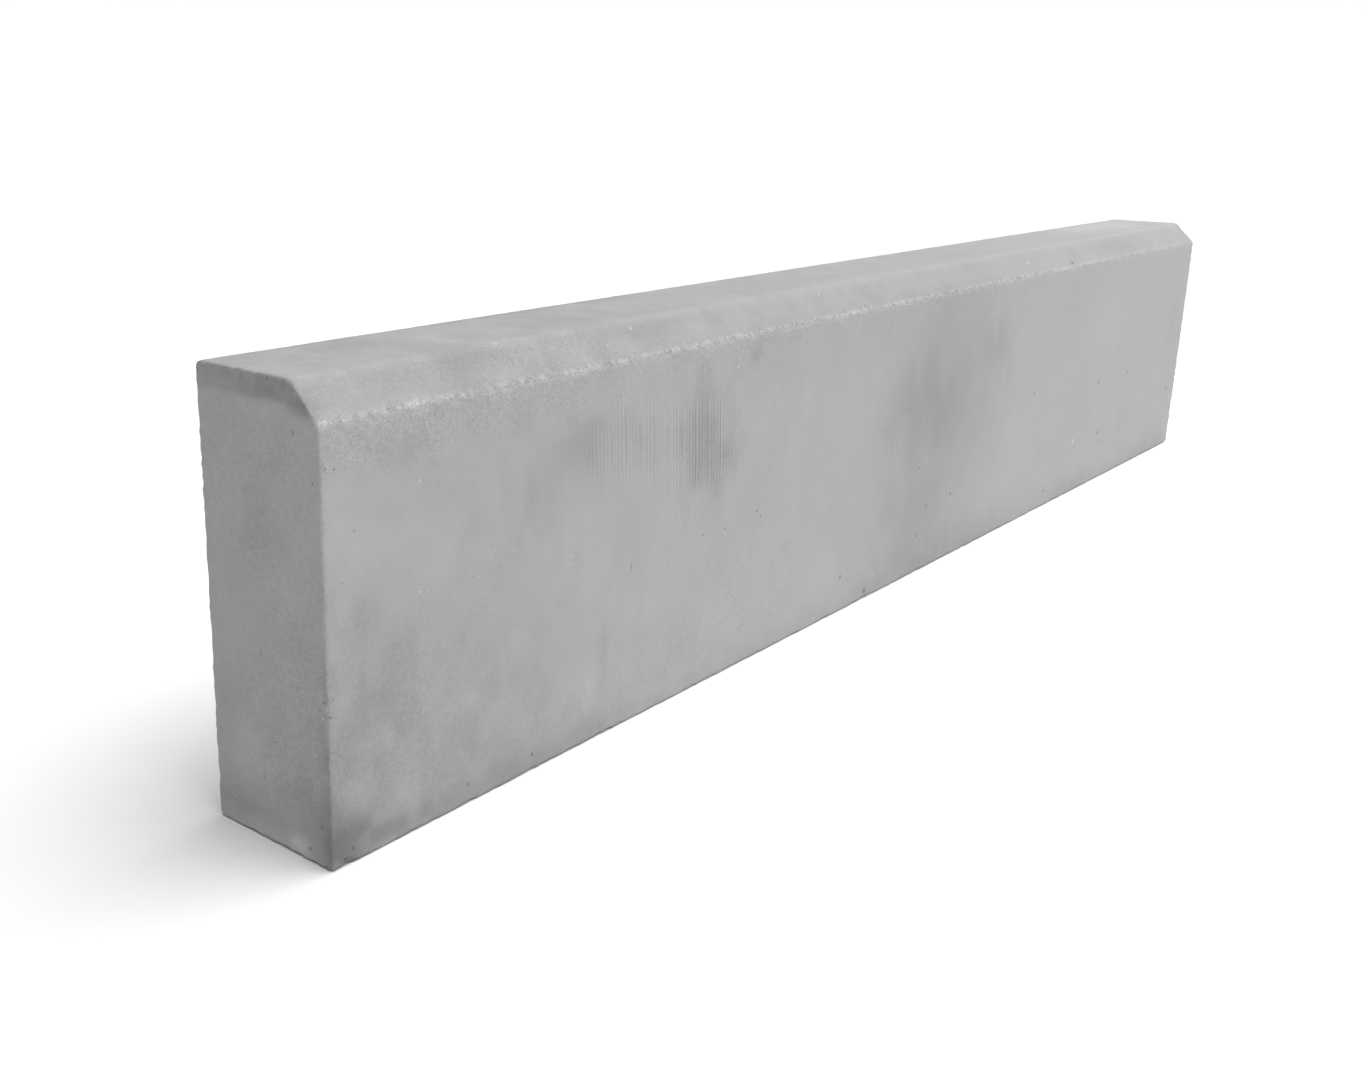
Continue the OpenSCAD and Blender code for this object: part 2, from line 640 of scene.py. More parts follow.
@dataclass(frozen=True)
class Wear:
    """What the mould, the handling and the yard did to the block.

    Everything is taken off, never added, so the worn block stays inside the plain one.

    Attributes:
        form: The unworn block.
        seed: Which random wear this kerb has.
        swell: How far the mould's faces bow in and out, from crest to trough.
        swell_parts: The strength and the size of each noise in that.
        fray: How deep the arrises are worn.
        fray_reach: How far that wear reaches from an arris.
        fray_even: The part of the fray that is the same everywhere.
        fray_coarse: The strength and the size of its coarse noise.
        fray_fine: The same of its fine noise.
        chip_seed: Which random roughness the chips have.
        chip_roughness: How rough the inside of a chip is.
        chip_grain: The size of that roughness.
    """

    form: KerbForm
    seed: int = 7
    swell: float = 0.22 * MM
    swell_parts: tuple[tuple[float, float], ...] = ((0.7, 95.0 * MM), (0.3, 28.0 * MM))
    fray: float = 0.5 * MM
    fray_reach: float = 1.6 * MM
    fray_even: float = 0.4
    fray_coarse: tuple[float, float] = (0.6, 9.0 * MM)
    fray_fine: tuple[float, float] = (0.9, 2.6 * MM)
    chip_seed: int = 16
    chip_roughness: float = 0.25 * MM
    chip_grain: float = 1.6 * MM

    def arrises(self) -> list[Arris]:
        """Every arris of the block but the chamfer's soft head, with how it chips."""
        section, end = self.form.section, self.form.length / 2
        front, back, head = section.front, section.back, section.head
        top, shoulder = section.height, section.shoulder
        deep, shallow = (0.8 * MM, 1.7 * MM), (0.45 * MM, 1.0 * MM)
        long_ones = [
            Arris((-end, front, shoulder), (end, front, shoulder), (0, -0.92, 0.38), 300.0),
            Arris((-end, back, top), (end, back, top), (0, 1, 1), 60.0, depth=deep),
            Arris((-end, front, 0), (end, front, 0), (0, -1, -1), 100.0, depth=deep),
            Arris((-end, back, 0), (end, back, 0), (0, 1, -1), 100.0, depth=deep),
        ]
        at_ends = [
            arris
            for way, x in ((-1, -end), (1, end))
            for arris in (
                Arris((x, front, 0), (x, front, shoulder), (way, -1, 0), 300.0, depth=shallow),
                Arris((x, back, 0), (x, back, top), (way, 1, 0), 200.0, depth=shallow),
                Arris((x, head, top), (x, back, top), (way, 0, 1), 400.0, depth=shallow),
                Arris((x, front, shoulder), (x, head, top), (way, -0.7, 0.7), 260.0),
                Arris((x, front, 0), (x, back, 0), (way, 0, -1), 250.0, depth=shallow),
            )
        ]
        return long_ones + at_ends

    def knocks(self) -> list[Knock]:
        """The knocks that stand out: most are at the near end's head, its front arris and its foot."""
        section, near = self.form.section, -self.form.length / 2
        front, back, head, top = section.front, section.back, section.head, section.height
        return [
            Knock((near, head + 1.0 * MM, top), (-1.0, -0.35, 0.9), 4.5, 1.5),
            Knock((near, head - 3.0 * MM, top - 1.5 * MM), (-1.0, -0.6, 0.9), 3.0, 1.0),
            Knock((near, front, 69.0 * MM), (-1.0, -1.0, 0.0), 4.0, 1.3),
            Knock((near, front, 74.5 * MM), (-1.0, -0.7, 0.2), 2.4, 1.1),
            Knock((near, front, 63.5 * MM), (-0.8, -1.0, 0.0), 2.2, 1.0),
            Knock((near, front, 166.0 * MM), (-0.8, -1.0, 0.0), 4.0, 0.8),
            Knock((near, front, 159.0 * MM), (-0.8, -1.0, 0.0), 3.0, 0.8),
            Knock((near, front, 102.0 * MM), (-1.0, -1.0, 0.0), 2.5, 0.8),
            Knock((near, front, 0.0), (-0.8, -1.0, -0.8), 4.0, 2.0),
            Knock((near + 8.0 * MM, front, 0.5 * MM), (0.0, -1.0, -0.5), 4.0, 1.5),
            Knock((near, back, 0.0), (-1.0, 1.0, -0.8), 3.5, 1.8),
            Knock((near, 12.0 * MM, 0.0), (-1.0, 0.0, -1.0), 3.0, 1.2),
            Knock((near, -13.0 * MM, 0.0), (-1.0, 0.0, -1.0), 2.5, 1.1),
            Knock((near, -8.0 * MM, top), (-1.0, 0.0, 0.8), 2.2, 1.1),
            Knock((near, 12.0 * MM, top), (-0.9, 0.0, 1.0), 2.6, 1.0),
            Knock((near, 30.0 * MM, top), (-0.8, 0.2, 1.0), 2.8, 1.1),
            Knock((-0.381, front, 0.0), (0.0, -1.0, -0.8), 4.5, 1.6),
            Knock((-0.325, front, 0.0), (0.0, -1.0, -0.8), 3.5, 1.5),
            Knock((-0.421, front, 0.0), (0.0, -1.0, -0.8), 3.0, 1.4),
            Knock((-0.070, front, 0.0), (0.0, -1.0, -0.7), 6.0, 1.8),
            Knock((0.210, back, top), (0.0, 1.0, 0.9), 7.0, 2.4),
            Knock((-0.330, back, 0.0), (0.0, 1.0, -0.9), 8.0, 2.4),
            Knock((-near, back, 52.0 * MM), (1.0, 1.0, 0.0), 6.0, 1.8),
            Knock((-near, front, 0.0), (1.0, -1.0, -0.8), 4.0, 1.8),
        ]

    def from_arris(self, points: Array) -> Array:
        """How far each point is from the nearest arris.

        A point on the block has a depth of nothing under its own wall, so the second smallest of its depths
        is the way to the nearest other one. The top and the chamfer count as one wall, so the soft turn
        between them is no arris, and so do the two ends.

        Args:
            points: The points, one row each.

        Returns:
            One distance for each point.
        """
        section = self.form.section
        depths = ((section.corners - points[:, None, 1:]) * section.normals).sum(axis=2)
        crown = np.minimum(depths[:, 2], depths[:, 3])
        ends = self.form.length / 2 - np.abs(points[:, 0])
        walls = np.column_stack([depths[:, 0], depths[:, 1], crown, depths[:, 4], ends])
        return np.partition(walls, 1, axis=1)[:, 1]

    def taken_off(self, points: Array) -> Array:
        """How much the mould's swell and the fraying of the arrises take off at each point.

        The swell is smooth noise, kept inside the plain block. The fray is its depth times an even part with
        a coarse and a fine noise added, and it falls off as exp(-(distance / reach)^2) from the arris.

        Args:
            points: The points, one row each.

        Returns:
            One depth for each point.
        """
        broad, coarse, fine = (LatticeNoise(self.seed + i) for i in range(3))
        waves = broad.mixed(points, self.swell_parts)
        edge = np.exp(-((self.from_arris(points) / self.fray_reach) ** 2))
        ragged = coarse.mixed(points, (self.fray_coarse,)) + fine.mixed(points, (self.fray_fine,))
        ragged += self.fray_even
        return 0.5 * self.swell * (1.0 + waves) + self.fray * edge * np.clip(ragged, 0.0, None)

    def scoop(self, points: Array, balls: Array) -> Array:
        """Pushes each point that lies inside a ball out to the ball's surface, away from its centre.

        The ball is roughened by fine noise.

        Args:
            points: The points, one row each.
            balls: One row for each ball: its centre and its radius.

        Returns:
            The moved points.
        """
        rough = self.chip_roughness * LatticeNoise(self.chip_seed).at(points, self.chip_grain)
        moved = points.copy()
        for *centre, radius in balls:
            near = np.flatnonzero(np.abs(moved[:, 0] - centre[0]) < radius)
            away = moved[near] - centre
            distance = np.linalg.norm(away, axis=1)
            inside = distance + rough[near] < radius
            push = (radius - rough[near][inside]) / distance[inside]
            moved[near[inside]] = centre + away[inside] * push[:, None]
        return moved

    def worn(self, skin: Skin) -> tuple[Array, Array]:
        """Wears the skin.

        Args:
            skin: The unworn skin.

        Returns:
            The worn points, and how worn each is, from 0 for none to 1 for a millimetre or more.
        """
        eased = skin.points - self.taken_off(skin.points)[:, None] * skin.normals
        rng = np.random.default_rng(self.seed)
        chips = [arris.chips(rng) for arris in self.arrises()]
        points = self.scoop(eased, np.concatenate([*chips, [knock.ball() for knock in self.knocks()]]))
        section, end = self.form.section, self.form.length / 2
        points[:, 0] = np.clip(points[:, 0], -end, end)
        points[:, 1] = np.clip(points[:, 1], section.front, section.back)
        points[:, 2] = np.clip(points[:, 2], 0.0, section.height)
        off = np.linalg.norm(points - skin.points, axis=1)
        return points, np.clip((off - self.swell) / MM, 0.0, 1.0)


# ---------------------------------------------------------------------------------------------------------
# The complexion
# ---------------------------------------------------------------------------------------------------------


@dataclass(frozen=True)
class Patch:
    """A soft patch of the skin: what lies near a point, in millimetres.

    Attributes:
        at: Its middle.
        size: Half its size along each axis.
        amount: How strong it is at its middle.
        ragged: How far its border wanders, as a share of its size.
    """

    at: Triple
    size: Triple
    amount: float
    ragged: float = 0.35

    def strength(self, points: Array, wander: Array) -> Array:
        """How strong the patch is at each point.

        The way from its middle is measured in its own half sizes, with the wander times ragged added, and the
        strength falls along a smooth step from nearly the middle to a little past its border.

        Args:
            points: The points, one row each.
            wander: Noise at each.

        Returns:
            One value from 0 to the amount for each point.
        """
        away = np.linalg.norm((points / MM - self.at) / self.size, axis=1)
        return self.amount * smooth_step(away + self.ragged * wander, PATCH_BORDER, PATCH_HEART)


@dataclass(frozen=True)
class Cloud:
    """Smooth noise that makes the tone uneven everywhere.

    Attributes:
        size: The size of a lump along each axis, in millimetres.
        sides: How far it takes the tone of the front and the back up and down, as a share.
        crown: The same on the top and the chamfer.
        ends: The same on the two ends.
    """

    size: Triple
    sides: float
    crown: float
    ends: float


@dataclass(frozen=True)
class PaintedFootShade:
    """Painted shade: the darker strip along the foot of the front and the back, where the floor meets them.

    Attributes:
        depth: How much darker it is, as a share.
        full: The height up to which it is fully dark.
        gone: The height at which it has faded.
        waver: How far its border goes up and down.
    """

    depth: float = 0.05
    full: float = 3.0 * MM
    gone: float = 15.0 * MM
    waver: float = 4.0 * MM

    def share(self, z: Array, waver: Array) -> Array:
        """How much darker each point is: a smooth step down in height, with a wavering border."""
        return self.depth * smooth_step(z + self.waver * waver, self.gone, self.full)


@dataclass(frozen=True)
class EndBand:
    """The dark band under the top of each end, deepest under the chamfer.

    Attributes:
        depth: How much darker it is, as a share.
        height: How far down it reaches.
        soft: How far it fades below its border and above it.
        waver: How far its border goes up and down.
        droop: How much further down it reaches at the front.
        droop_from: Where along y that starts and where it is full.
        fade: How much fainter the band is at the back.
        fade_from: Where along y that starts and where it is full.
        blotch: How uneven it is.
        blotch_size: The size of a blotch.
    """

    depth: float = 0.25
    height: float = 10.0 * MM
    soft: tuple[float, float] = (1.8 * MM, 2.2 * MM)
    waver: float = 1.6 * MM
    droop: float = 2.5 * MM
    droop_from: tuple[float, float] = (-14.0 * MM, -30.0 * MM)
    fade: float = 0.3
    fade_from: tuple[float, float] = (-12.0 * MM, 12.0 * MM)
    blotch: float = 0.2
    blotch_size: float = 3.5 * MM

    def share(self, top: float, y: Array, z: Array, waver: Array, blotch: Array) -> Array:
        """How much darker each point of an end is.

        The band is a smooth step up in height, over a border that wavers and droops, times a depth that
        falls towards the back and that the blotches vary.

        Args:
            top: The height of the top.
            y: Each point's y.
            z: Its z.
            waver: Noise for the border.
            blotch: Noise for the depth.

        Returns:
            One share for each point.
        """
        border = top - self.height
        level = z + self.droop * smooth_step(y, *self.droop_from) + self.waver * waver
        band = smooth_step(level, border - self.soft[0], border + self.soft[1])
        return band * self.depth * (1.0 - self.fade * smooth_step(y, *self.fade_from) + self.blotch * blotch)


@dataclass(frozen=True)
class Complexion:
    """How the skin differs from place to place, with painted shade on the ends, the chamfer and the foot, and
    painted light in two of its stains.

    Attributes:
        clouds: What makes the tone uneven everywhere.
        stains_and_painted_light: Where it is darker, as a share of its tone. Below 0 is paler. Most are
            stains, but the paler strip along the near end's foot and the paler top towards the far end are
            painted light.
        sands: Where it is sandy rather than smooth.
        crawls: Where the cement crawled in the mould and left small laps.
        combs: Where the mould left fine upright lines.
        foot: The painted shade along the foot.
        band: The dark band on the ends.
        end_shade_and_tone: The tone of the two ends, as a share of the front's: partly their own rougher skin
            and partly painted shade for the light they miss.
        chamfer_shade: Painted shade on the chamfer, as a share of the front's tone, so that it looks no
            brighter than the top.
        end_border: How far from an end the end's tone, with its painted shade, starts, and where it is full.
        shoulder_soft: How far the chamfer's tone, which is painted shade, fades to both sides of the
            shoulder.
        head_soft: How far it fades past the head, over the top and over the chamfer.
        calmer: How much fainter the clouds are towards the far end.
        calmer_from: Where that starts and where it is full, as shares of the length.
        wander: The strength and the size of each noise that the patches' borders follow.
        waver_size: The size of the waves in the borders of the foot and the band.
        seed: Which borders and clouds this kerb has.
        waver_seed: Which waves those are.
        blotch_seed: Which blotches the band has.
    """

    clouds: tuple[Cloud, ...]
    stains_and_painted_light: tuple[Patch, ...]
    sands: tuple[Patch, ...]
    crawls: tuple[Patch, ...]
    combs: tuple[Patch, ...]
    foot: PaintedFootShade = PaintedFootShade()
    band: EndBand = EndBand()
    end_shade_and_tone: float = 0.92
    chamfer_shade: float = 0.88
    end_border: tuple[float, float] = (1.4 * MM, 0.4 * MM)
    shoulder_soft: float = 0.8 * MM
    head_soft: tuple[float, float] = (3.0 * MM, 5.0 * MM)
    calmer: float = 0.6
    calmer_from: tuple[float, float] = (-0.35, 0.1)
    wander: tuple[tuple[float, float], ...] = ((0.7, 17.0 * MM), (0.5, 7.0 * MM))
    waver_size: float = 9.0 * MM
    seed: int = 31
    waver_seed: int = 51
    blotch_seed: int = 52

    def carried(self, form: KerbForm, points: Array) -> dict[str, Array]:
        """What the mesh carries for the finish: tone, sand, crawl and comb at each point.

        Patches add up as coats do: what all of them leave is the product of what each leaves.

        Args:
            form: The unworn block.
            points: The points on it, one row each.

        Returns:
            One array for each name.
        """
        wander = LatticeNoise(self.seed).mixed(points, self.wander)

        def left(patches: tuple[Patch, ...]) -> Array:
            """What the patches leave at each point."""
            return np.prod([1.0 - patch.strength(points, wander) for patch in patches], axis=0)

        masks = {"sand": self.sands, "crawl": self.crawls, "comb": self.combs}
        # The tone carries painted shade on the ends, the chamfer and along the foot, and painted light in two
        # paler patches among the stains.
        tone = left(self.stains_and_painted_light) * self.plain_tone(form, points)
        return {"tone": tone} | {name: 1.0 - left(patches) for name, patches in masks.items()}

    def walls(self, form: KerbForm, points: Array) -> tuple[Array, Array, Array]:
        """Which wall each point lies on, with soft borders.

        Args:
            form: The unworn block.
            points: The points on it, one row each.

        Returns:
            How far each point belongs to an end, to the top and the chamfer, and to the chamfer alone.
        """
        section, end = form.section, form.length / 2
        x, y, z = points.T
        ends = smooth_step(np.abs(x), *(end - inset for inset in self.end_border))
        soft = self.shoulder_soft
        crown = smooth_step(z, section.shoulder - soft, section.shoulder + soft) * (1.0 - ends)
        over_top, over_chamfer = self.head_soft
        chamfer = crown * smooth_step(y, section.head + over_top, section.head - over_chamfer)
        return ends, crown, chamfer

    def cloudy(self, length: float, points: Array, ends: Array, crown: Array) -> Array:
        """How far the clouds take the tone up or down: each is noise times its strength on that wall.

        Args:
            length: The kerb's length.
            points: The points, one row each.
            ends: How far each belongs to an end.
            crown: How far it belongs to the top and the chamfer.

        Returns:
            One share for each point.
        """
        sides = (1.0 - ends) * (1.0 - crown)
        clouds = np.zeros(len(points))
        for number, cloud in enumerate(self.clouds, start=1):
            noise = LatticeNoise(self.seed + number).at(points / cloud.size, MM)
            clouds += noise * (cloud.sides * sides + cloud.crown * crown + cloud.ends * ends)
        start, full = (share * length for share in self.calmer_from)
        return clouds * (1.0 - self.calmer * smooth_step(points[:, 0], start, full))

    def plain_tone(self, form: KerbForm, points: Array) -> Array:
        """The tone before its stains: the clouds, and what each wall, the foot and the end band change. The
        ends' share is partly painted shade, and the chamfer's share and the foot's strip are painted shade.

        Args:
            form: The unworn block.
            points: The points on it, one row each.

        Returns:
            One share of the finish's tone for each point.
        """
        ends, crown, chamfer = self.walls(form, points)
        clouds = self.cloudy(form.length, points, ends, crown)
        waver = LatticeNoise(self.waver_seed).at(points, self.waver_size)
        blotch = LatticeNoise(self.blotch_seed).at(points, self.band.blotch_size)
        y, z = points[:, 1], points[:, 2]
        # Painted shade along the foot, where the floor meets the kerb.
        foot = self.foot.share(z, waver) * (1.0 - ends)
        band = self.band.share(form.section.height, y, z, waver, blotch) * ends
        # The ends' share is partly painted shade, and the chamfer's share is painted shade.
        shares = 1.0 - (1.0 - self.end_shade_and_tone) * ends - (1.0 - self.chamfer_shade) * chamfer
        return (1.0 + clouds) * shares * (1.0 - foot) * (1.0 - band)


def on_front(
    x: float, z: float, wide: float, high: float, amount: float, deep: float = 8, ragged: float = 0.35
) -> Patch:
    """A patch of the front face: its middle, its half sizes, how strong and how ragged it is."""
    return Patch((x, FRONT_FACE, z), (wide, deep, high), amount, ragged)


def on_end(y: float, z: float, wide: float, high: float, amount: float, deep: float = 8) -> Patch:
    """A patch of the near end: its middle, its half sizes and how strong it is."""
    return Patch((NEAR_END, y, z), (deep, wide, high), amount)


COMPLEXION = Complexion(
    clouds=(
        Cloud((95, 95, 95), 0.018, 0.022, 0.020),
        Cloud((34, 34, 34), 0.032, 0.036, 0.030),
        Cloud((15, 15, 15), 0.030, 0.052, 0.034),
        Cloud((7, 7, 7), 0.030, 0.046, 0.036),
        Cloud((6, 6, 50), 0.010, 0.0, 0.006),
        Cloud((24, 6, 6), 0.0, 0.02, 0.0),
    ),
    stains_and_painted_light=(
        # The front face, from the near end to the far one.
        on_end(-36, 4, 20, 22, 0.15, deep=22), on_front(-488, 45, 36, 66, 0.14, deep=6),
        on_front(-494, 8, 30, 17, 0.2, deep=6), on_front(-478, 6, 30, 13, 0.17, deep=6),
        on_front(-400, 3, 120, 9, 0.1, deep=10), on_front(-484, 30, 12, 10, -0.153),
        on_front(-477, 89, 12, 14, 0.051), on_front(-470, 60, 90, 70, 0.085, deep=20),
        on_front(-455, 163, 15, 12, 0.068), on_front(-455, 142, 32, 14, 0.051),
        on_front(-430, 15, 110, 38, 0.12, deep=12), on_front(-432, 128, 10, 8, -0.051),
        on_front(-420, 60, 60, 40, 0.051, deep=20), on_front(-385, 32, 26, 20, -0.06),
        on_front(-381, 132, 8, 10, 0.09), on_front(-372, 126, 14, 20, 0.034),
        on_front(-341, 27, 6, 10, -0.119), on_front(-330, 44, 5, 20, 0.085),
        on_front(-352, 148, 24, 13, 0.119), on_front(-322, 140, 44, 16, 0.085),
        on_front(-310, 86, 14, 16, 0.043), on_front(-251, 131, 28, 34, 0.2),
        on_front(-258, 150, 14, 16, 0.051), on_front(-226, 123, 18, 13, 0.085),
        on_front(-208, 169, 8, 9, 0.119), on_front(-167, 61, 9, 7, 0.102),
        on_front(-120, 128, 55, 34, -0.034), on_front(-117, 29, 12, 17, -0.06),
        on_front(18, 90, 96, 190, 0.085, ragged=0.12), on_front(-5, 104, 58, 30, 0.085),
        on_front(30, 118, 102, 52, 0.076, ragged=0.2), on_front(92, 138, 30, 22, 0.051),
        on_front(-16, 40, 56, 60, 0.076, ragged=0.2), on_front(60, 8, 120, 16, 0.068, deep=14),
        on_front(92, 156, 5, 18, -0.051), on_front(145, 62, 30, 30, -0.034),
        on_front(313, 128, 60, 30, -0.043), on_front(262, 6, 60, 10, 0.085, deep=14),
        on_front(323, 34, 14, 10, 0.068), on_front(445, 8, 60, 20, 0.085, deep=14),
        on_front(472, 90, 18, 80, 0.034),
        # The near end.
        # The second patch here, on_end(0, 0, 60, 9, -0.3), is painted light: a paler strip along the end's
        # foot that cancels the shade the floor casts there.
        on_end(-22, 22, 18, 15, 0.16), on_end(0, 0, 60, 9, -0.3), on_end(-16, 6, 7, 6, -0.3),
        on_end(13, 34, 12, 16, -0.1), on_end(18, 10, 20, 8, 0.062), on_end(-2, 125, 18, 16, 0.037),
        on_end(-20, 92, 13, 14, 0.05), on_end(-28, 176, 10, 8, -0.037), on_end(18, 158, 12, 10, -0.025),
        on_end(-27, 184, 9, 5, 0.15), on_end(-8, 190, 26, 8, 0.062),
        # The chamfer and the top.
        Patch((-460, -33, 181), (45, 4, 3), -0.105), Patch((-405, -23, 192), (18, 8, 6), 0.068),
        Patch((-395, -31, 184), (10, 6, 6), -0.06), Patch((-341, -27, 188), (14, 9, 9), -0.075),
        Patch((-292, -25, 190), (32, 9, 8), 0.09), Patch((-237, -27, 188), (7, 8, 8), 0.06),
        Patch((-216, -28, 187), (12, 8, 8), -0.045), Patch((-470, -14, 195), (60, 12, 8), 0.05),
        Patch((-292, 0, 195), (9, 14, 6), 0.075), Patch((-402, 0, 195), (7, 22, 6), -0.06),
        Patch((-430, 16, 195), (24, 22, 6), 0.06), Patch((-150, -20, 193), (60, 14, 6), -0.03),
        Patch((62, -24, 191), (9, 8, 6), 0.06), Patch((225, -33, 182), (5, 4, 4), 0.12),
        # Patch((400, 12, 195), (100, 28, 6), -0.14) is painted light: the top paler towards the far end,
        # where the light falls brighter.
        Patch((330, -28, 187), (46, 9, 9), 0.068), Patch((400, 12, 195), (100, 28, 6), -0.14),
        Patch((-350, 35, 195), (130, 8, 6), 0.13),
        # The back, which is plain.
        Patch((-210, 36, 70), (170, 8, 60), 0.07), Patch((260, 36, 130), (120, 8, 50), 0.07),
        Patch((30, 36, 20), (200, 14, 26), 0.07), Patch((-360, 36, 150), (60, 8, 24), -0.042),
        Patch((120, 36, 90), (50, 8, 40), -0.042),
        # The far end.
        Patch((500, 8, 30), (8, 30, 24), 0.1), Patch((500, -10, 120), (8, 22, 40), 0.05),
    ),
    sands=(
        on_front(-487, 174, 26, 12, 0.9, deep=6), on_front(-455, 172, 60, 12, 0.85, deep=6),
        on_front(-390, 172, 110, 16, 0.75, deep=6), on_front(-200, 172, 90, 13, 0.35, deep=6),
        on_front(-300, 174, 140, 9, 0.4, deep=6), on_front(-30, 176, 300, 12, 0.45, deep=5),
        on_end(-36, 69, 9, 10, 0.9, deep=9), on_end(-30, 70, 10, 16, 0.6, deep=6),
        Patch((-495, -34, 3), (14, 14, 8), 0.9), on_front(-470, 45, 90, 60, 0.55, deep=14),
        on_end(-16, 60, 34, 70, 0.6), on_end(-25, 184, 14, 10, 0.5), on_end(0, 192, 50, 7, 0.35),
        on_end(0, 150, 60, 34, 0.35), on_front(-300, 20, 160, 22, 0.35, deep=14),
        on_front(-215, 40, 60, 34, 0.4), Patch((-400, -25, 189), (150, 12, 9), 0.7),
        Patch((-440, 5, 195), (110, 40, 8), 0.45), Patch((-200, -33, 182), (330, 5, 4), 0.4),
        on_front(360, 30, 110, 30, 0.3), on_front(-250, 134, 60, 44, 0.35),
    ),
    crawls=(
        on_front(-408, 106, 18, 9, 1.0), on_front(-448, 104, 8, 5, 0.6), on_front(-397, 74, 4, 12, 0.6),
        on_front(-353, 94, 6, 4, 0.9), on_front(-285, 112, 20, 7, 0.6), on_front(-213, 151, 9, 4, 1.0),
        on_front(-200, 78, 10, 10, 0.7), on_front(-228, 60, 8, 26, 0.45), on_front(-220, 33, 24, 9, 0.8),
        on_front(-325, 9, 10, 7, 0.8), Patch((-385, -24, 190), (7, 8, 6), 0.9),
        on_end(-33, 70, 8, 12, 1.0), on_front(-484, 63, 16, 3, 0.7, deep=6),
        on_front(-496, 163, 6, 4, 0.8, deep=6), on_end(-10, 166, 12, 7, 0.35, deep=6),
        on_front(240, 34, 130, 22, 0.6), on_front(360, 52, 60, 16, 0.4), on_front(-20, 95, 60, 24, 0.3),
        on_end(10, 30, 18, 22, 0.3, deep=6),
    ),
    combs=(
        on_front(-251, 131, 42, 40, 1.0, ragged=0.15), on_front(-312, 141, 56, 24, 0.75, ragged=0.15),
        on_front(-195, 132, 36, 22, 0.3, ragged=0.15),
    ),
)


# ---------------------------------------------------------------------------------------------------------
# Tools for finishes
# ---------------------------------------------------------------------------------------------------------


class Sum(Enum):
    """What a Math node works out."""

    ADD = "ADD"
    SUBTRACT = "SUBTRACT"
    MULTIPLY = "MULTIPLY"
    DIVIDE = "DIVIDE"
    LEAST = "MINIMUM"
    MOST = "MAXIMUM"
    SIZE = "ABSOLUTE"
    SINE = "SINE"
    FRACTION = "FRACT"


class Number:
    """A number that varies over the surface, with Python's arithmetic."""

    def __init__(self, graph: "Graph", socket: bpy.types.NodeSocket) -> None:
        """Wraps an output socket of the graph."""
        self.graph = graph
        self.socket = socket

    def __add__(self, other: "Number | float") -> "Number":
        """This plus other."""
        return self.graph.sum(Sum.ADD, self, other)

    def __radd__(self, other: float) -> "Number":
        """Other plus this."""
        return self.graph.sum(Sum.ADD, other, self)

    def __sub__(self, other: "Number | float") -> "Number":
        """This less other."""
        return self.graph.sum(Sum.SUBTRACT, self, other)

    def __rsub__(self, other: float) -> "Number":
        """Other less this."""
        return self.graph.sum(Sum.SUBTRACT, other, self)

    def __mul__(self, other: "Number | float") -> "Number":
        """This times other."""
        return self.graph.sum(Sum.MULTIPLY, self, other)

    def __rmul__(self, other: float) -> "Number":
        """Other times this."""
        return self.graph.sum(Sum.MULTIPLY, other, self)

    def __truediv__(self, other: "Number | float") -> "Number":
        """This over other."""
        return self.graph.sum(Sum.DIVIDE, self, other)

    def __abs__(self) -> "Number":
        """This without its sign."""
        return self.graph.sum(Sum.SIZE, self, 0.0)

    def at_most(self, other: "Number | float") -> "Number":
        """The lesser of this and other."""
        return self.graph.sum(Sum.LEAST, self, other)

    def at_least(self, other: "Number | float") -> "Number":
        """The greater of this and other."""
        return self.graph.sum(Sum.MOST, self, other)

    def wave(self, length: float) -> "Number":
        """A sine wave along this."""
        return self.graph.sum(Sum.SINE, self * (2.0 * math.pi / length), 0.0)

    def fraction(self) -> "Number":
        """What is left of this above the next whole number below."""
        return self.graph.sum(Sum.FRACTION, self, 0.0)

    def rise(self, low: float, high: float) -> "Number":
        """A smooth step from 0 where this is low to 1 where it is high. Low may be the larger."""
        start, end, first, last = (low, high, 0.0, 1.0) if low < high else (high, low, 1.0, 0.0)
        settings = {"interpolation_type": "SMOOTHSTEP"}
        values = {"Value": self, "From Min": start, "From Max": end, "To Min": first, "To Max": last}
        return Number(self.graph, self.graph.node("ShaderNodeMapRange", settings, values).outputs["Result"])

    def near(self, middle: float, reach: float) -> "Number":
        """1 where this is the middle, falling smoothly to 0 at the reach from it."""
        return abs(self - middle).rise(reach, 0.0)


class Place:
    """A place in space that varies over the surface."""

    def __init__(self, graph: "Graph", socket: bpy.types.NodeSocket) -> None:
        """Wraps an output socket of the graph."""
        self.graph = graph
        self.socket = socket

    def step(self, operation: str, by: "Place | Triple") -> "Place":
        """This place after one step of vector arithmetic."""
        node = self.graph.node("ShaderNodeVectorMath", {"operation": operation}, {0: self, 1: by})
        return Place(self.graph, node.outputs["Vector"])

    def stretched(self, by: Triple) -> "Place":
        """The place with each axis times its share of by."""
        return self.step("MULTIPLY", by)

    def moved(self, by: "Place | Triple") -> "Place":
        """The place moved by a way."""
        return self.step("ADD", by)

    def from_point(self, point: Triple) -> Number:
        """How far the place is from a point."""
        node = self.graph.node("ShaderNodeVectorMath", {"operation": "DISTANCE"}, {0: self, 1: point})
        return Number(self.graph, node.outputs["Value"])

    def parts(self) -> tuple[Number, Number, Number]:
        """Its x, y and z."""
        node = self.graph.node("ShaderNodeSeparateXYZ", {}, {"Vector": self})
        return tuple(Number(self.graph, node.outputs[axis]) for axis in "XYZ")


